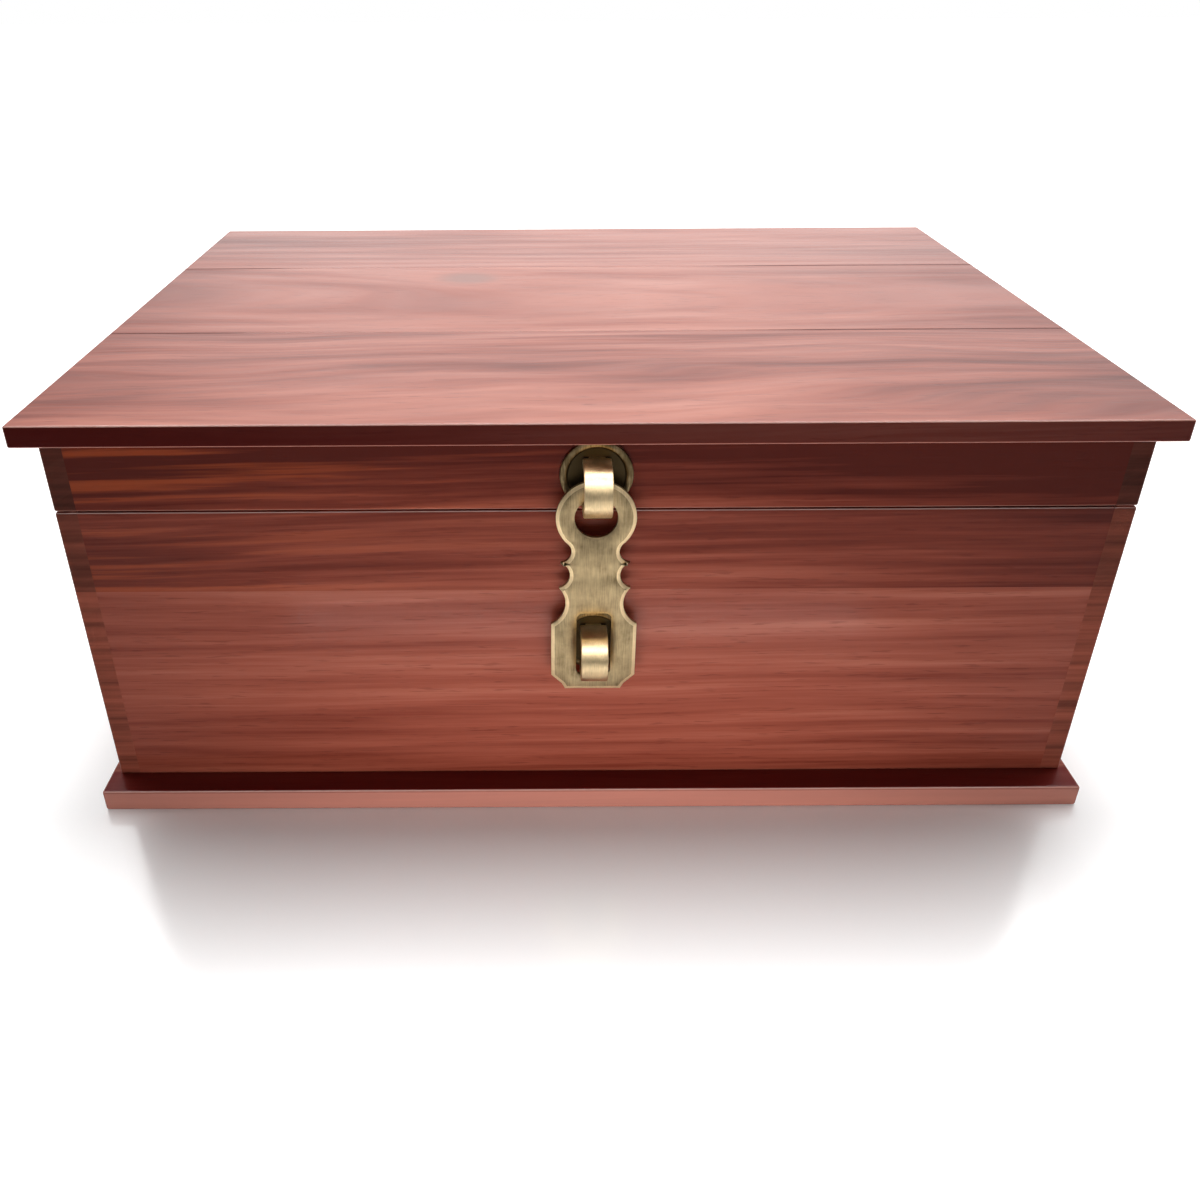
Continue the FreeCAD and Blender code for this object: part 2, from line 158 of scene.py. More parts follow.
# Stained pine: streaks follow rings round a pith line that runs nearly along the board
wood = {
    "light": (0.64, 0.25, 0.175),
    "pale": (0.50, 0.150, 0.095),
    "red": (0.36, 0.085, 0.050),
    "brown": (0.22, 0.040, 0.022),
    "dark": (0.10, 0.014, 0.008),
    "end": (0.28, 0.070, 0.042),
    # pale arris colour: partly rubbed wear, partly a painted highlight
    "rubbed": (0.72, 0.34, 0.27),
    "stops": ((0.12, "dark"), (0.34, "brown"), (0.52, "red"), (0.70, "pale"), (0.90, "light")),
    # streaks: how many to a metre along and outwards, detail and offset
    "bands": (2.6, 62.0, 2.0, 0.0),
    "lines": (7.0, 280.0, 3.0, 3.1),
    "fibres": (26.0, 1100.0, 2.0, 7.7),
    # soft patches: how many to a metre along and across
    "wander": (3.4, 11.0),
    "clouds": (5.0, 16.0),
    "weights": {"bands": 0.9, "lines": 1.2, "fibres": 0.3, "clouds": 0.4},
    "halfLength": 0.2,
    "pores": {"along": 90.0, "across": 1300.0, "from": (0.62, 0.74), "share": 0.30},
    "rough": 0.6,
    "thin": {"lines": (0.50, 0.66), "reach": (-0.19, 0.05), "colour": (0.46, 0.085, 0.022)},
    "endBands": {"across": 7.0, "up": 280.0, "detail": 3.0, "depths": ((0.3, 0.55), (0.7, 1.45)),
                 "share": 0.95, "bare": 0.8},
    "groove": {"width": (0.0004, 0.0014), "left": (-0.16, -0.13), "right": (0.05, 0.10), "worn": 0.15,
               "stain": 0.85, "bare": 0.7},
    # how squarely a surface looks along an axis before it counts as one
    "squareness": {"end": (0.6, 0.95), "face": (0.90, 0.98), "arris": (0.80, 0.96)},
    "faceFade": 0.002,
    "glintAndWearShare": 0.6,
    "roughness": (0.40, 0.55),
    "specular": 0.06,
    "varnish": {"even": 0.55, "lines": 0.9, "roughness": 0.14, "ior": 1.5},
    "relief": {"lines": 0.6, "pores": 0.6, "depth": 0.0003, "bare": 0.25, "varnished": 0.10},
}


def stainedPine(name, along, pith, tilt, seed, tone=0.0, drift=0.0, contrast=0.8, varnish=0.3, warm=0.0,
                paintedEndShade=0.0, paintedHeightShade=(0.0, 0.0), sway=0.022, endTone=1.0, faces=(), joints=(), knot=None):
    material, tree, shader = startMaterial(name)
    spot = tree.nodes.new("ShaderNodeTexCoord")
    split = tree.nodes.new("ShaderNodeSeparateXYZ")
    tree.links.new(spot.outputs["Object"], split.inputs[0])
    atX, atY, z = split.outputs
    run, side = (atX, atY) if along == "X" else (atY, atX)  # along the board and across it

    def times(value, number):
        return math(tree, "MULTIPLY", value, number)

    def distance(first, second):
        return math(tree, "SQRT", math(tree, "ADD", times(first, first), times(second, second)))

    if knot:  # the grain parts and runs round a knot
        besideRun = math(tree, "SUBTRACT", run, knot["at"][0])
        besideSide = math(tree, "SUBTRACT", side, knot["at"][1])
        away = distance(times(besideRun, 1 / knot["size"][0]), times(besideSide, 1 / knot["size"][1]))
        near = math(tree, "EXPONENT", times(away, -knot["fade"]))
        side = math(tree, "SUBTRACT", side, times(times(besideSide, near), knot["pull"]))

    def patches(perLength, perWidth):
        up = math(tree, "MULTIPLY_ADD", z, perWidth, seed)
        return noise(tree, join(tree, times(run, perLength), times(side, perWidth), up), 1.0, 2.0)

    # the grain wanders slowly along the board
    wander = math(tree, "MULTIPLY_ADD", patches(*wood["wander"]), sway, -sway / 2)

    def fromPith(across, slope, start):
        pithLine = math(tree, "MULTIPLY_ADD", run, slope, start)
        return math(tree, "SUBTRACT", math(tree, "ADD", across, wander), pithLine)

    radius = distance(fromPith(side, tilt[0], pith[0]), fromPith(z, tilt[1], pith[1]))

    def streaks(perLength, perRadius, detail, offset):
        place = join(tree, times(run, perLength), times(radius, perRadius), seed + offset)
        return noise(tree, place, 1.0, detail, wood["rough"])

    bands, lines, fibres = (streaks(*wood[key]) for key in ("bands", "lines", "fibres"))
    clouds = patches(*wood["clouds"])
    weights = wood["weights"]
    middle = sum(weights.values()) / 2
    shade = math(tree, "MULTIPLY_ADD", lines, weights["lines"], times(fibres, weights["fibres"]))
    shade = math(tree, "MULTIPLY_ADD", bands, weights["bands"], shade)
    shade = math(tree, "MULTIPLY_ADD", clouds, weights["clouds"], shade)
    shade = math(tree, "MULTIPLY_ADD", shade, contrast, 0.5 + tone - middle * contrast)
    shade = math(tree, "MULTIPLY_ADD", run, drift, shade)
    # painted shade: the board darkens towards both its ends, where less light reaches it
    shade = math(tree, "MULTIPLY_ADD", times(run, run), -paintedEndShade / wood["halfLength"] ** 2, shade)
    # painted shade: lighter or darker with height; the rail's negative one paints the shadow under the top's
    # overhang
    if paintedHeightShade[1]:
        shade = math(tree, "MULTIPLY_ADD", math(tree, "SUBTRACT", z, paintedHeightShade[0]), paintedHeightShade[1], shade)
    colour = ramp(tree, shade, [(mark, wood[key]) for mark, key in wood["stops"]])

    # pores: short dark dashes along the grain
    pore = wood["pores"]
    place = join(tree, times(run, pore["along"]), times(side, pore["across"]), times(z, pore["across"]))
    pores = span(tree, noise(tree, place, 1.0, 1.0), *pore["from"])
    colour = mix(tree, times(pores, pore["share"]), colour, wood["dark"])
    if warm:  # orange streaks where the stain is thin, towards the start of the board
        thin = wood["thin"]
        share = times(span(tree, lines, *thin["lines"]), span(tree, run, *thin["reach"], warm, 0.0))
        colour = mix(tree, share, colour, thin["colour"])
    if knot:
        heart = span(tree, math(tree, "MULTIPLY_ADD", lines, knot["ragged"], away), *knot["rim"], 1.0, 0.0)
        colour = mix(tree, times(heart, knot["share"]), colour, knot["colour"])

    # end grain soaks up more stain, in level bands, and the arrises are painted paler: partly rubbed wear,
    # partly a painted highlight
    facing = tree.nodes.new("ShaderNodeSeparateXYZ")
    tree.links.new(spot.outputs["Normal"], facing.inputs[0])
    x, y, up = (math(tree, "ABSOLUTE", facing.outputs[axis]) for axis in range(3))
    square = wood["squareness"]
    ends = span(tree, x if along == "X" else y, *square["end"])
    endBands = wood["endBands"]
    place = join(tree, times(side, endBands["across"]), times(z, endBands["up"]), seed)
    level = noise(tree, place, 1.0, endBands["detail"], wood["rough"])
    endGrain = ramp(tree, level, [(mark, tuple(endTone * depth * part for part in wood["end"]))
                                  for mark, depth in endBands["depths"]])
    colour = mix(tree, times(ends, endBands["share"]), colour, endGrain)
    # varnish lies unevenly over the rings, and the end grain is nearly bare
    coat = wood["varnish"]
    varnished = math(tree, "MULTIPLY_ADD", lines, coat["lines"] * varnish, coat["even"] * varnish)
    varnished = times(varnished, math(tree, "MULTIPLY_ADD", ends, -endBands["bare"], 1.0))
    for face in faces:  # a face with painted shade or painted light, by a share that runs from the board's start to its end
        towards = times(facing.outputs[face["axis"]], face["way"])
        half = wood["halfLength"]
        share = times(span(tree, towards, *square["face"]), span(tree, run, -half, half, *face["share"]))
        share = times(share, span(tree, atY, face["upTo"], face["upTo"] + wood["faceFade"], 1.0, 0.0))
        colour = mix(tree, share, colour, face["colour"])
        varnished = times(varnished, math(tree, "MULTIPLY_ADD", share, -face["dull"], 1.0))
    squarest = math(tree, "MAXIMUM", math(tree, "MAXIMUM", x, y), up)
    # painted highlight, partly real rubbed wear: arrises are painted pale
    arris = span(tree, squarest, *square["arris"], wood["glintAndWearShare"], 0.0)
    colour = mix(tree, arris, colour, wood["rubbed"])
    varnished = math(tree, "MAXIMUM", varnished, times(arris, 1 / wood["glintAndWearShare"]))
    groove = wood["groove"]
    for joint in joints:  # stain gathers in the groove between two planks, and is worn away mid-length
        beside = math(tree, "ABSOLUTE", math(tree, "SUBTRACT", atY, joint))
        keptRight = span(tree, run, *groove["right"], groove["worn"], 1.0)
        keptLeft = span(tree, run, *groove["left"], 1.0, groove["worn"])
        inGroove = span(tree, beside, *groove["width"], 1.0, 0.0)
        inGroove = times(inGroove, math(tree, "MAXIMUM", keptRight, keptLeft))
        colour = mix(tree, times(inGroove, groove["stain"]), colour, wood["dark"])
        varnished = times(varnished, math(tree, "MULTIPLY_ADD", inGroove, -groove["bare"], 1.0))

    feed(tree, shader.inputs["Base Color"], colour)
    feed(tree, shader.inputs["Roughness"], span(tree, fibres, *noiseRange, *wood["roughness"]))
    shader.inputs["Specular IOR Level"].default_value = wood["specular"]
    feed(tree, shader.inputs["Coat Weight"], varnished)
    shader.inputs["Coat Roughness"].default_value = coat["roughness"]
    shader.inputs["Coat IOR"].default_value = coat["ior"]
    relief = wood["relief"]
    height = math(tree, "MULTIPLY_ADD", lines, relief["lines"], fibres)
    height = math(tree, "SUBTRACT", height, times(pores, relief["pores"]))
    feed(tree, shader.inputs["Normal"], bump(tree, height, relief["bare"], relief["depth"]))
    feed(tree, shader.inputs["Coat Normal"], bump(tree, height, relief["varnished"], relief["depth"]))
    return material


def wear(name, material):
    thing = nodes[name]
    thing.data.materials.clear()
    thing.data.materials.append(material)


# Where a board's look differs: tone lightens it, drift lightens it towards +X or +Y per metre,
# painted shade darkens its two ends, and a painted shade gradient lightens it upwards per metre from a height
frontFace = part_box("front_wall_lower")[0].y
# painted shade: the front edge of the top is painted near black, darkest at the left
paintedShadeOnFrontEdge = {"axis": 1, "way": -1.0, "share": (1.0, 0.75), "colour": (0.075, 0.005, 0.003), "dull": 1.0,
             "upTo": frontFace}
# painted shade: the top of the base in front of the wall is painted near black
paintedShadeOnBaseTop = {"axis": 2, "way": 1.0, "share": (0.9, 0.9), "colour": (0.16, 0.010, 0.008), "dull": 0.5,
           "upTo": frontFace}
# painted light: the front edge of the base is painted pale, as where the low light strikes it
paintedLightOnBaseEdge = {"axis": 1, "way": -1.0, "share": (0.8, 0.8), "colour": (0.60, 0.25, 0.19), "dull": 0.0,
            "upTo": frontFace}
topKnot = {"at": (-0.055, 0.041), "size": (0.019, 0.015), "pull": 0.5, "fade": 0.7, "ragged": 0.8,
           "rim": (0.7, 1.5), "share": 0.7, "colour": (0.25, 0.11, 0.085)}
boardLooks = {
    "lid_front_rail": {"tone": -0.25, "drift": -0.15, "paintedEndShade": 0.26, "paintedHeightShade": (0.138, -17.0),
                       "contrast": 0.65, "varnish": 0.10, "warm": 0.6},
    "front_wall_upper": {"tone": -0.09, "drift": -0.10, "paintedEndShade": 0.22, "contrast": 0.55, "varnish": 0.20,
                         "warm": 0.4},
    "front_wall_lower": {"tone": 0.0, "paintedEndShade": 0.05, "contrast": 0.42, "varnish": 0.32},
    "base_plank_front": {"faces": (paintedShadeOnBaseTop, paintedLightOnBaseEdge)},
    "top_plank_front": {"tone": 0.04, "paintedEndShade": 0.17, "contrast": 0.65, "varnish": 0.90,
                        "faces": (paintedShadeOnFrontEdge,)},
    "top_plank_middle": {"tone": 0.06, "paintedEndShade": 0.17, "contrast": 0.5, "varnish": 0.90, "sway": 0.012,
                         "knot": topKnot},
    "top_plank_rear": {"tone": 0.03, "paintedEndShade": 0.08, "contrast": 0.5, "varnish": 0.95, "sway": 0.012},
}
# How each board was cut from its tree, and how dark its end grain is
growth = {
    "lyingUnder": 0.012,
    "lyingPith": {"aside": 0.10, "below": 0.16, "deeper": 0.03},
    "uprightPith": {"aside": 0.16, "below": 0.30},
    "tilt": (0.012, 0.006),
    "seedStep": 11.3,
    "endTone": {"rail": 0.29, "upper": 0.60, "lower": 0.98, "plank": 0.98},
}
woodenNodes = [name for name in sorted(nodes) if "wall" in name or "rail" in name or "plank" in name]
for number, name in enumerate(woodenNodes):
    low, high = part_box(name)
    middle = (low + high) / 2
    along = "Y" if "left" in name or "right" in name else "X"
    side = middle.y if along == "X" else middle.x
    # a lying board shows arched grain, an upright one straight grain
    if high.z - low.z < growth["lyingUnder"]:
        cut = growth["lyingPith"]
        pith = (side + cut["aside"] * (number % 3 - 1),
                middle.z - cut["below"] - cut["deeper"] * (number % 4))
    else:
        cut = growth["uprightPith"]
        pith = (side + cut["aside"], middle.z - cut["below"])
    tilt = (growth["tilt"][0] * (number % 5 - 2), growth["tilt"][1] * (number % 4 - 1.5))
    plankEdges = ((low.y, "front"), (high.y, "rear")) if "plank" in name else ()
    joints = [edge for edge, free in plankEdges if free not in name]
    endTone = [tone for kind, tone in growth["endTone"].items() if kind in name][0]
    wear(name, stainedPine(f"stainedPine_{name}", along, pith, tilt, growth["seedStep"] * number,
                           endTone=endTone, joints=joints, **boardLooks.get(name, {})))
print("wood:", len(woodenNodes), "boards")

# Antique brass: dull tan faces, paler where they are rubbed
brass = {
    "rubbed": (0.90, 0.69, 0.40),
    "tan": (0.44, 0.33, 0.18),
    "dull": (0.13, 0.09, 0.042),
    "stops": ((0.32, "dull"), (0.52, "tan"), (0.92, "rubbed")),
    "patches": (150.0, 3.0, 0.6),
    "brushing": (2200.0, 2200.0, 160.0),
    "shares": {"scratches": 0.3, "patches": 0.5, "even": 0.1},
    "roughness": (0.32, 0.46),
    "relief": {"patches": 1.5, "strength": 0.12, "depth": 0.0002},
}


def antiqueBrass(name, worn=0.0, tint=1.0):
    material, tree, shader = startMaterial(name)
    place = tree.nodes.new("ShaderNodeTexCoord").outputs["Object"]
    patches = noise(tree, place, *brass["patches"])
    brushed = tree.nodes.new("ShaderNodeMapping")
    brushed.inputs["Scale"].default_value = brass["brushing"]
    tree.links.new(place, brushed.inputs["Vector"])
    scratches = noise(tree, brushed.outputs[0], 1.0, 2.0)
    shares = brass["shares"]
    shade = math(tree, "MULTIPLY_ADD", patches, shares["patches"], worn + shares["even"])
    shade = math(tree, "MULTIPLY_ADD", scratches, shares["scratches"], shade)
    stops = [(mark, tuple(tint * part for part in brass[key])) for mark, key in brass["stops"]]
    feed(tree, shader.inputs["Base Color"], ramp(tree, shade, stops))
    shader.inputs["Metallic"].default_value = 1.0
    feed(tree, shader.inputs["Roughness"], span(tree, patches, *noiseRange, *brass["roughness"]))
    relief = brass["relief"]
    height = math(tree, "MULTIPLY_ADD", patches, relief["patches"], scratches)
    feed(tree, shader.inputs["Normal"], bump(tree, height, relief["strength"], relief["depth"]))
    return material


faceBrass = antiqueBrass("antiqueBrass")
rubbedBrass = antiqueBrass("rubbedBrass", worn=0.35)
stripBrass = antiqueBrass("stripBrass", worn=0.3)
dullBrass = antiqueBrass("dullBrass", worn=-0.12)
# partly patina, partly painted shade: the dish under each staple is painted near black
patinaAndShadeBrass = antiqueBrass("patinaAndShadeBrass", worn=-0.3, tint=0.45)
for name in nodes:
    if name.startswith(("hinge", "hasp", "lid_staple", "lock_staple")):
        wear(name, rubbedBrass if name.endswith("_screws") else faceBrass)

# Zinc plate on the screws under the base
zinc = {
    "dark": (0.42, 0.42, 0.43),
    "light": (0.62, 0.62, 0.60),
    "grain": (900.0, 3.0),
    "roughness": (0.3, 0.45),
}


def zincSteel(name):
    material, tree, shader = startMaterial(name)
    place = tree.nodes.new("ShaderNodeTexCoord").outputs["Object"]
    grain = noise(tree, place, *zinc["grain"])
    stops = list(zip(noiseRange, (zinc["dark"], zinc["light"])))
    feed(tree, shader.inputs["Base Color"], ramp(tree, grain, stops))
    shader.inputs["Metallic"].default_value = 1.0
    feed(tree, shader.inputs["Roughness"], span(tree, grain, *noiseRange, *zinc["roughness"]))
    return material


wear("base_screws", zincSteel("zincSteel"))
sharpAngle = radians(28)


def finishPiece(shape, name, node, body, materials):
    bmesh.ops.recalc_face_normals(shape, faces=shape.faces)
    for face in shape.faces:
        face.smooth = True
    mesh = bpy.data.meshes.new(name)
    shape.to_mesh(mesh)
    shape.free()
    mesh.set_sharp_from_angle(angle=sharpAngle)
    for material in materials:
        mesh.materials.append(material)
    piece = bpy.data.objects.new(name, mesh)
    bpy.context.collection.objects.link(piece)
    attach(piece, body)
    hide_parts(node)


# Hasp: halves out from its centre line, drops down from the middle of its ring, and a rubbed bevel
hasp = {
    "ring": 14.3, "hole": 7.7, "ringFoot": 9.6,
    "neck": (8.6, 13.3), "thorn": (12.6, 17.8), "waist": (9.1, 22.9), "spur": (13.1, 28.2),
    "throat": (10.6, 34.6),
    "shoulder": (15.9, 43.6), "hip": (15.9, 66.4), "heel": (11.8, 70.4), "toe": (10.6, 72.7),
    "slot": (6.5, 39.1, 66.5), "slotCorner": 2.5,
    "bevel": 1.3, "bevelDepth": 0.55, "arcSteps": 14, "ringSteps": 56, "holeSteps": 48, "cornerSteps": 6,
}
haspLow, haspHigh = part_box("hasp_plate")
ringCentre = haspHigh.z - hasp["ring"] * mm


def arcThrough(first, via, last, steps):
    (ax, ay), (bx, by), (cx, cy) = first, via, last
    turn = 2 * (ax * (by - cy) + bx * (cy - ay) + cx * (ay - by))
    squares = [x * x + y * y for x, y in (first, via, last)]
    ux = (squares[0] * (by - cy) + squares[1] * (cy - ay) + squares[2] * (ay - by)) / turn
    uy = (squares[0] * (cx - bx) + squares[1] * (ax - cx) + squares[2] * (bx - ax)) / turn
    middle = Vector((ux, uy))
    start, end = Vector(first) - middle, Vector(last) - middle
    swing = start.angle_signed(end)
    if start.angle_signed(Vector(via) - middle) * swing < 0:
        swing -= radians(360) if swing > 0 else -radians(360)
    return [middle + Matrix.Rotation(-swing * step / steps, 2) @ start for step in range(steps)]


def closedLoop(shape, points, depth):
    verts = [shape.verts.new((point[0] * mm, depth, ringCentre + point[1] * mm)) for point in points]
    return [shape.edges.new((verts[step - 1], verts[step])) for step in range(len(verts))]


def down(key):
    half, drop = hasp[key]
    return half, -drop


ringFoot = ((hasp["ring"] ** 2 - hasp["ringFoot"] ** 2) ** 0.5, -hasp["ringFoot"])
right = arcThrough(ringFoot, down("neck"), down("thorn"), hasp["arcSteps"])
right += arcThrough(down("thorn"), down("waist"), down("spur"), hasp["arcSteps"])
right += arcThrough(down("spur"), down("throat"), down("shoulder"), hasp["arcSteps"])
right += [Vector(down(key)) for key in ("shoulder", "hip", "heel", "toe")]
left = [Vector((-point.x, point.y)) for point in reversed(right)]
crown = arcThrough((-ringFoot[0], ringFoot[1]), (0, hasp["ring"]), ringFoot, hasp["ringSteps"])[1:]
holeTurn = 360 / hasp["holeSteps"]
holeStart = Vector((hasp["hole"], 0))
ringHole = [Matrix.Rotation(radians(holeTurn * step), 2) @ holeStart for step in range(hasp["holeSteps"])]
half, slotTop, slotFoot = hasp["slot"]
corner = hasp["slotCorner"]
slotHole = []
cornerTurn = 90 / hasp["cornerSteps"]
slotCorners = ((half, -slotTop, 0), (-half, -slotTop, 90), (-half, -slotFoot, 180), (half, -slotFoot, 270))
for x, y, start in slotCorners:
    centre = Vector((x - corner if x > 0 else x + corner, y - corner if y == -slotTop else y + corner))
    for step in range(hasp["cornerSteps"] + 1):
        slotHole.append(centre + Matrix.Rotation(radians(start + cornerTurn * step), 2) @ Vector((corner, 0)))

shape = bmesh.new()
edges = []
for points in (right + left + crown, ringHole, slotHole):
    edges += closedLoop(shape, points, haspHigh.y)
bmesh.ops.triangle_fill(shape, edges=edges, use_beauty=True, normal=(0, -1, 0))
raised = bmesh.ops.extrude_face_region(shape, geom=shape.faces[:], use_keep_orig=True)["geom"]
lifted = [item for item in raised if isinstance(item, bmesh.types.BMVert)]
plateau = [item for item in raised if isinstance(item, bmesh.types.BMFace)]
rise = haspHigh.y - haspLow.y - hasp["bevelDepth"] * mm
bmesh.ops.translate(shape, verts=lifted, vec=(0, -rise, 0))
bmesh.ops.recalc_face_normals(shape, faces=shape.faces)
sloped = bmesh.ops.inset_region(shape, faces=plateau, thickness=hasp["bevel"] * mm,
                                depth=hasp["bevelDepth"] * mm, use_even_offset=True,
                                use_boundary=True)["faces"]
for face in sloped:
    spot = face.calc_center_median()
    x, y = spot.x / mm, (spot.z - ringCentre) / mm
    inRing = (x * x + y * y) ** 0.5 < hasp["hole"] + hasp["bevel"]
    inSlot = abs(x) < half + hasp["bevel"] and -slotFoot - hasp["bevel"] < y < -slotTop + hasp["bevel"]
    face.material_index = 0 if inRing or inSlot else 1
finishPiece(shape, "haspPlate", "hasp_plate", "hasp", [faceBrass, rubbedBrass])
print("hasp made")

# Staples: a strip with rounded edges, bent to a U, with narrower tangs clenched inside the board
strip = {
    "width": 10, "thick": 2.2, "edge": 0.45, "edgeSteps": 3, "bend": 8.5, "bendSteps": 10, "height": 18,
    "tang": 6, "shoulder": 1.5, "clench": 6, "clenchSteps": 6,
}


def makeStaple(node, body, board):
    low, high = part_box(node)
    wall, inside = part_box(board)[0].y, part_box(board)[1].y
    thick, bend = strip["thick"] * mm, strip["bend"] * mm
    centre = (low.z + high.z) / 2
    shape = bmesh.new()
    # the first cross section stands at the upper shoulder and faces the board
    across = strip["width"] * mm / 2
    top = centre + strip["height"] * mm / 2
    shoulder = wall - strip["shoulder"] * mm
    corners = [(across, top), (-across, top), (-across, top - thick), (across, top - thick)]
    section = shape.faces.new([shape.verts.new((x, shoulder, z)) for x, z in corners])
    bmesh.ops.bevel(shape, geom=section.verts[:], offset=strip["edge"] * mm, affect="VERTICES",
                    segments=strip["edgeSteps"], profile=0.5, material=-1)
    shape.faces.ensure_lookup_table()
    section = shape.faces[0]

    def onward(face, vec, narrow=None):
        made = bmesh.ops.extrude_face_region(shape, geom=[face])["geom"]
        verts = [item for item in made if isinstance(item, bmesh.types.BMVert)]
        if narrow:
            bmesh.ops.scale(shape, verts=verts, vec=(narrow, 1, 1))
        bmesh.ops.translate(shape, verts=verts, vec=vec)
        return [item for item in made if isinstance(item, bmesh.types.BMFace)][0]

    def bendRound(face, cent, angle, steps):
        made = bmesh.ops.spin(shape, geom=[face, *face.edges, *face.verts], cent=cent, axis=(1, 0, 0),
                              angle=radians(angle), steps=steps)["geom_last"]
        return [item for item in made if isinstance(item, bmesh.types.BMFace)][0]

    # out from the board, round the two bends and back
    frontBend = low.y + bend
    face = onward(section, (0, frontBend - shoulder, 0))
    face = bendRound(face, (0, frontBend, top - bend), 90, strip["bendSteps"])
    face = onward(face, (0, 0, -(strip["height"] * mm - 2 * bend)))
    face = bendRound(face, (0, frontBend, top - strip["height"] * mm + bend), 90, strip["bendSteps"])
    onward(face, (0, shoulder - frontBend, 0))
    # tangs through the board, each clenched towards the other
    shape.faces.ensure_lookup_table()
    atShoulder = [face for face in shape.faces if abs(face.calc_center_median().y - shoulder) < 1e-6]
    for end in [face for face in atShoulder if abs(face.normal.y) > 0.9]:
        upper = end.calc_center_median().z > centre
        tang = onward(end, (0, 0, 0), strip["tang"] / strip["width"])
        tang = onward(tang, (0, inside - shoulder, 0))
        edge = top - thick if upper else top - strip["height"] * mm + thick
        tang = bendRound(tang, (0, inside, edge), -90 if upper else 90, strip["clenchSteps"])
        onward(tang, (0, 0, -(strip["clench"] - strip["thick"]) * mm * (1 if upper else -1)))
    bmesh.ops.remove_doubles(shape, verts=shape.verts, dist=1e-7)
    finishPiece(shape, node + "Strip", node, body, [stripBrass])


makeStaple("lid_staple", "lid", "lid_front_rail")
makeStaple("lock_staple", "box", "front_wall_lower")
print("staples made")

# Plates under the staples: a turned disc with a raised rim round a dished middle painted dark, partly patina
# and partly painted shade under the staple
plate = {"radius": 13, "rim": 10.6, "edge": 0.6, "dish": 0.8, "steps": 64}


def makePlate(node, body):
    low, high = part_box(node)
    centre = Vector(((low.x + high.x) / 2, high.y, (low.z + high.z) / 2))
    thick = high.y - low.y
    outer, rim, edge, dish = (plate[key] * mm for key in ("radius", "rim", "edge", "dish"))
    profile = [(0, 0), (outer, 0), (outer, thick - edge), (outer - edge / 3, thick - edge / 3),
               (outer - edge, thick), (rim + edge, thick), (rim, thick - edge / 3),
               (rim - edge, thick - dish), (0, thick - dish)]
    shape = bmesh.new()
    points = [shape.verts.new((centre.x + r, centre.y - y, centre.z)) for r, y in profile]
    edges = [shape.edges.new(pair) for pair in zip(points, points[1:])]
    bmesh.ops.spin(shape, geom=points + edges, cent=centre, axis=(0, 1, 0), angle=radians(360),
                   steps=plate["steps"], use_merge=True)
    bmesh.ops.remove_doubles(shape, verts=shape.verts, dist=1e-6)
    for face in shape.faces:
        off = face.calc_center_median() - centre
        face.material_index = 0 if off.xz.length < rim and off.y < -1e-5 else 1
    finishPiece(shape, node + "Disc", node, body, [patinaAndShadeBrass, dullBrass])


makePlate("lid_staple_plate", "lid")
makePlate("lock_staple_plate", "box")
print("plates made")

# Floor and light: a white table, a broad light above and behind, a low one along the table in front
room = {
    "floorSize": 14.0,
    "floorColour": (0.86, 0.86, 0.86),
    "floorRoughness": 0.18,
    "floorIor": 1.7,
    "glowNear": (0.0, 0.18, 0.09, 0.66),
    "glowFar": (0.3, 1.5, 0.0, 0.3),
    "footprint": {"side": 0.165, "front": 0.165, "back": 0.155},
    "sideways": 2.0,
    "ambient": 0.05,
    "dim": 0.8,
    "dimFront": (-0.75, -0.35),
    "dimLow": (0.15, 0.55),
    "fadeLeft": (-0.50, -0.15, 0.42, 1.0),
    "fadeRight": (0.20, 0.55, 1.0, 0.78),
    "key": {"place": (0.05, 0.50, 1.40), "aim": (0.0, 0.05, 0.12), "size": (2.0, 1.2), "power": 38.0,
            "shines": True},
    "low": {"place": (0.0, -0.29, 0.005), "aim": (0.0, 0.0, 0.005), "size": (0.30, 0.008), "power": 0.20,
            "shines": False},
    "strip": {"place": (0.0, -0.62, 1.0), "aim": (0.0, -0.15, 0.13), "size": (1.4, 0.5), "power": 8.0,
              "shines": True},
}


def addLamp(name, look):
    data = bpy.data.lights.new(name, "AREA")
    data.shape = "RECTANGLE"
    data.size, data.size_y = look["size"]
    data.energy = look["power"]
    lamp = bpy.data.objects.new(name, data)
    lamp.location = look["place"]
    lamp.rotation_euler = (Vector(look["aim"]) - Vector(look["place"])).to_track_quat("-Z", "Y").to_euler()
    lamp.visible_camera = False
    lamp.visible_glossy = look["shines"]
    bpy.context.collection.objects.link(lamp)
    return lamp


addLamp("keyLight", room["key"])
addLamp("lowLight", room["low"])
addLamp("stripLight", room["strip"]).visible_diffuse = False  # only glints on arrises and bends

floorShape = bmesh.new()
bmesh.ops.create_grid(floorShape, x_segments=1, y_segments=1, size=room["floorSize"] / 2)
floorMesh = bpy.data.meshes.new("floor")
floorShape.to_mesh(floorMesh)
floorShape.free()
floor = bpy.data.objects.new("floor", floorMesh)
bpy.context.collection.objects.link(floor)
floorMaterial, tree, shader = startMaterial("paleTable")
shader.inputs["Base Color"].default_value = (*room["floorColour"], 1)
shader.inputs["Roughness"].default_value = room["floorRoughness"]
shader.inputs["IOR"].default_value = room["floorIor"]
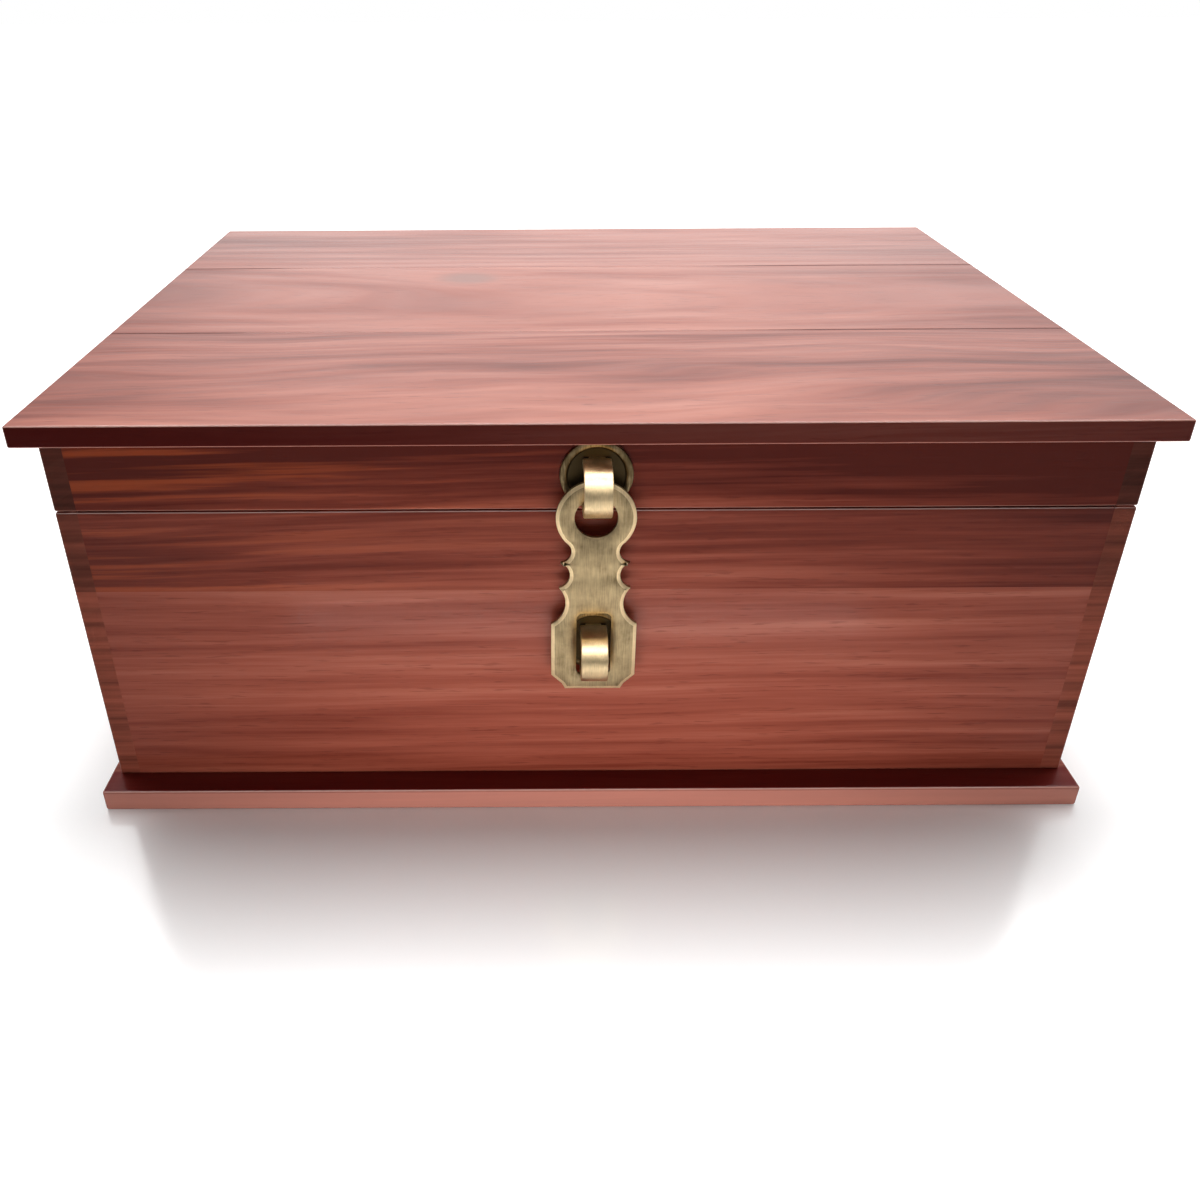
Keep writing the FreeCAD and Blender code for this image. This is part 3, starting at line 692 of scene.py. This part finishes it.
# the table clears to white away from the foot of the chest
spot = tree.nodes.new("ShaderNodeSeparateXYZ")
tree.links.new(tree.nodes.new("ShaderNodeTexCoord").outputs["Object"], spot.inputs[0])
foot = room["footprint"]
across = math(tree, "ABSOLUTE", spot.outputs[0])
aside = math(tree, "MAXIMUM", math(tree, "SUBTRACT", across, foot["side"]), 0.0)
ahead = math(tree, "MAXIMUM", math(tree, "SUBTRACT", -foot["front"], spot.outputs[1]), 0.0)
behind = math(tree, "MAXIMUM", math(tree, "SUBTRACT", spot.outputs[1], foot["back"]), 0.0)
clear = math(tree, "ADD", math(tree, "MULTIPLY", aside, room["sideways"]), ahead)
clear = math(tree, "ADD", clear, behind)
rays = tree.nodes.new("ShaderNodeLightPath")
glow = math(tree, "ADD", span(tree, clear, *room["glowNear"]), span(tree, clear, *room["glowFar"]))
feed(tree, shader.inputs["Emission Strength"], math(tree, "MULTIPLY", glow, rays.outputs["Is Camera Ray"]))
shader.inputs["Emission Color"].default_value = (1, 1, 1, 1)
floorMesh.materials.append(floorMaterial)

world = bpy.data.worlds.new("studio")
bpy.context.scene.world = world
world.use_nodes = True
tree = world.node_tree
rays = tree.nodes.new("ShaderNodeLightPath")
background = tree.nodes["Background"]
background.inputs["Color"].default_value = (1, 1, 1, 1)
# in reflections the room is darker low down in front, behind the camera
towards = tree.nodes.new("ShaderNodeSeparateXYZ")
tree.links.new(tree.nodes.new("ShaderNodeTexCoord").outputs["Generated"], towards.inputs[0])
inFront = span(tree, towards.outputs[1], *room["dimFront"], 1.0, 0.0)
lowDown = span(tree, towards.outputs[2], *room["dimLow"], 1.0, 0.0)
shine = math(tree, "MULTIPLY_ADD", math(tree, "MULTIPLY", inFront, lowDown), -room["dim"], 1.0)
# and the bright back of the room fades to the left and a little to the right
shine = math(tree, "MULTIPLY", shine, span(tree, towards.outputs[0], *room["fadeLeft"]))
shine = math(tree, "MULTIPLY", shine, span(tree, towards.outputs[0], *room["fadeRight"]))
plain = math(tree, "MAXIMUM", rays.outputs["Is Camera Ray"], rays.outputs["Is Transmission Ray"])
bright = math(tree, "MAXIMUM", plain, math(tree, "MULTIPLY", rays.outputs["Is Glossy Ray"], shine))
feed(tree, background.inputs["Strength"], math(tree, "MAXIMUM", bright, room["ambient"]))
print("floor and light ready")
